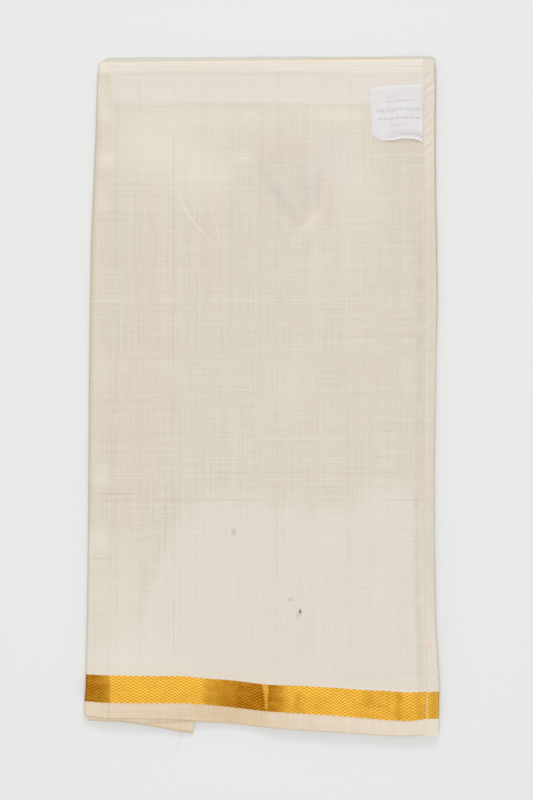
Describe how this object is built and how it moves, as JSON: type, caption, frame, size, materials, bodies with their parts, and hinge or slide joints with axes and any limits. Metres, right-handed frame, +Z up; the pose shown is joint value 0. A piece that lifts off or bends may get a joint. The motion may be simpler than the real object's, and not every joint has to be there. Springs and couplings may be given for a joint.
{
  "type": "folded dhoti cloth",
  "caption": "Long sheer cream silk dhoti cloth with a woven gold border along one edge, folded flat into an oblong pile with a sewn label in one corner.",
  "frame": {"origin": "middle of the pile's outline, on the surface that it lies on", "axes": "+Z up from the surface, +Y from the gold border towards the folded top edge, +X towards the hemmed end of the cloth"},
  "size_m": [0.338, 0.6472, 0.0107],
  "materials": {
    "silk": "sheer slubby silk, cream, faint sheen",
    "selvedge": "plain close weave, warm cream",
    "gold_zari": "gold thread woven in zigzag rows, metallic sheen",
    "label_satin": "white printed satin ribbon"
  },
  "bodies": {
    "root": {"folded_layers": "silk", "field_panel": "silk", "top_strip": "silk", "lower_selvedge": "selvedge", "under_selvedge": "selvedge", "zari_border": "gold_zari", "end_hem_field": "silk", "end_hem_zari": "gold_zari", "end_hem_selvedge": "selvedge", "label": "label_satin"}
  },
  "joints": []
}
